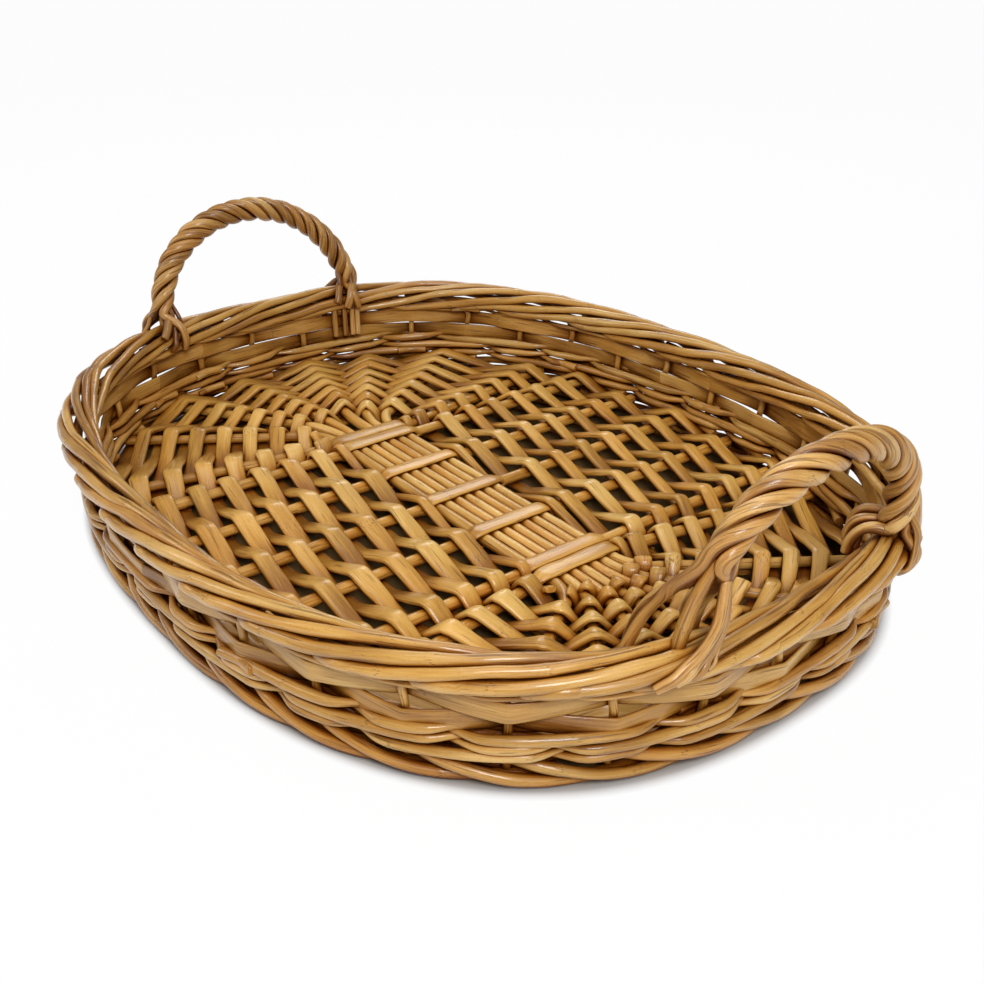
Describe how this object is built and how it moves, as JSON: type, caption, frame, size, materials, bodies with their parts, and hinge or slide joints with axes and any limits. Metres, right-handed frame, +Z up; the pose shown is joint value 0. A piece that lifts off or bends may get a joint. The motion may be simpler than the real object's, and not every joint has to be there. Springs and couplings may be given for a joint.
{
  "type": "oval willow tray",
  "caption": "Oval woven willow tray with a low open wall, a rolled border and a rope-twisted handle arching up from each end.",
  "frame": {"origin": "on the floor, under the middle of the tray", "axes": "+X along the tray's long axis towards one handle, +Y across the tray, +Z up"},
  "size_m": [0.5033, 0.4195, 0.1418],
  "materials": {
    "base_willow": "varnished willow, satin",
    "wall_willow": "varnished willow, satin",
    "border_willow": "varnished willow, satin",
    "handle_willow": "varnished willow, satin"
  },
  "bodies": {
    "root": {"foot_border": "wall_willow", "long_stick_1": "base_willow", "long_stick_2": "base_willow", "long_stick_3": "base_willow", "long_stick_4": "base_willow", "long_stick_5": "base_willow", "long_stick_6": "base_willow", "long_stick_7": "base_willow", "cross_stick_1": "base_willow", "cross_stick_2": "base_willow", "cross_stick_3": "base_willow", "cross_stick_4": "base_willow", "cross_stick_5": "base_willow", "cross_stick_6": "base_willow", "cross_stick_7": "base_willow", "base_weaver_1": "base_willow", "base_weaver_2": "base_willow", "bottom_wale_1": "wall_willow", "bottom_wale_2": "wall_willow", "bottom_wale_3": "wall_willow", "side_band_1": "wall_willow", "side_band_2": "wall_willow", "top_wale": "wall_willow", "handle_left_core": "border_willow", "handle_left_rope": "handle_willow", "handle_right_core": "border_willow", "handle_right_rope": "handle_willow", "stake_01": "border_willow", "stake_02": "border_willow", "stake_03": "border_willow", "stake_04": "border_willow", "stake_05": "border_willow", "stake_06": "border_willow", "stake_07": "border_willow", "stake_08": "border_willow", "stake_09": "border_willow", "stake_10": "border_willow", "stake_11": "border_willow", "stake_12": "border_willow", "stake_13": "border_willow", "stake_14": "border_willow", "stake_15": "border_willow", "stake_16": "border_willow", "stake_17": "border_willow", "stake_18": "border_willow", "stake_19": "border_willow", "stake_20": "border_willow", "stake_21": "border_willow", "stake_22": "border_willow", "stake_23": "border_willow", "stake_24": "border_willow", "stake_25": "border_willow", "stake_26": "border_willow", "stake_27": "border_willow", "stake_28": "border_willow", "stake_29": "border_willow", "stake_30": "border_willow", "stake_31": "border_willow", "stake_32": "border_willow", "stake_33": "border_willow"}
  },
  "joints": []
}
